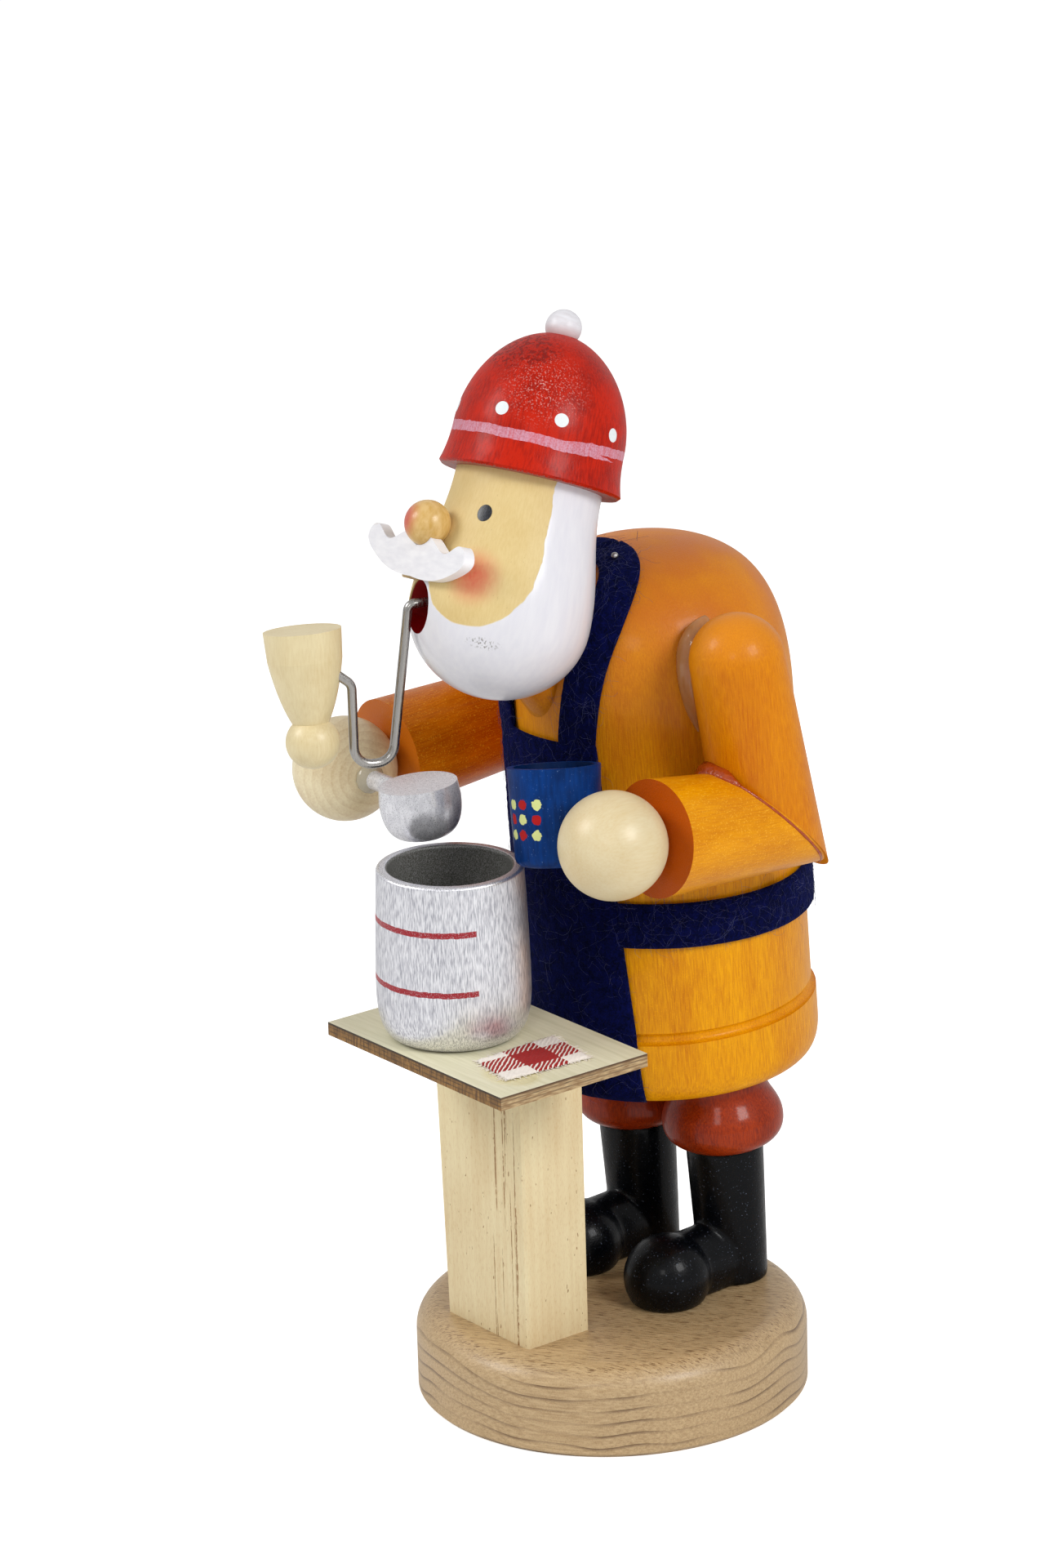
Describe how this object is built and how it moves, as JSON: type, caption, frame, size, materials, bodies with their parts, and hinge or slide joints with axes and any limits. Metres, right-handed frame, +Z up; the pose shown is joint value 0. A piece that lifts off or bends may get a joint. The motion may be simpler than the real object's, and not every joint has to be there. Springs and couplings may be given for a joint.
{
  "type": "incense smoker figure",
  "caption": "Wooden incense smoker: stooping bearded figure with pipe, ladle and mug at a table with a pot, on a round base; body lifts off over a cone tray.",
  "frame": {"origin": "centre of the base disc's flat underside", "axes": "+Z up, the figure faces -Y, its own left side is +X"},
  "size_m": [0.092, 0.1051, 0.1991],
  "materials": {
    "beech": "sanded, waxed",
    "pale_wood": "sanded",
    "dowel_wood": "raw",
    "plywood": "laser-cut edges",
    "silver_paint": "metallic paint",
    "gingham": "woven red and white check",
    "black_paint": "gloss paint",
    "brown_stain": "gloss stain",
    "amber_stain": "gloss stain",
    "skin_and_beard": "satin varnish and white paint",
    "nose_wood": "satin varnish",
    "white_paint": "satin paint",
    "red_paint": "satin paint",
    "blue_paint": "satin paint",
    "navy_felt": "felt",
    "tin": "bright",
    "steel": "bright drawn"
  },
  "bodies": {
    "root": {"base_disc": "beech", "leg_dowel_left": "dowel_wood", "leg_dowel_right": "dowel_wood", "boot_shaft_left": "black_paint", "boot_shaft_right": "black_paint", "boot_toe_left": "black_paint", "boot_toe_right": "black_paint", "trouser_left": "brown_stain", "trouser_right": "brown_stain", "hip_plate": "dowel_wood", "incense_tray": "tin", "tray_nail": "steel", "table_post": "pale_wood", "post_dowel": "dowel_wood", "table_board": "plywood", "pot": "silver_paint", "table_cloth": "gingham"},
    "figure": {"hand_left": "pale_wood", "hand_right": "pale_wood", "neck_dowel": "dowel_wood", "moustache_peg": "dowel_wood", "shoulder_dowel_left": "dowel_wood", "shoulder_dowel_right": "dowel_wood", "elbow_dowel_left": "dowel_wood", "elbow_dowel_right": "dowel_wood", "wrist_dowel_left": "dowel_wood", "wrist_dowel_right": "dowel_wood", "ladle_cup": "silver_paint", "ladle_handle": "silver_paint", "torso": "amber_stain", "neck_collar": "amber_stain", "upper_arm_left": "amber_stain", "upper_arm_right": "amber_stain", "forearm_left": "amber_stain", "forearm_right": "amber_stain", "head": "skin_and_beard", "nose": "nose_wood", "moustache": "white_paint", "pompom": "white_paint", "hat": "red_paint", "mug": "blue_paint", "apron": "navy_felt", "neck_strap": "navy_felt", "waist_belt": "navy_felt", "strap_pins": "steel"},
    "pipe": {"pipe_stem": "steel", "pipe_bowl": "pale_wood"}
  },
  "joints": [
    {"name": "figure_lift", "type": "slide", "parent": "root", "child": "figure", "axis": [0, -0.0593, 0.9982], "range_m": [0, 0.06]},
    {"name": "pipe_pull", "type": "slide", "parent": "figure", "child": "pipe", "axis": [-0.3252, -0.9457, 0], "range_m": [0, 0.01]}
  ]
}
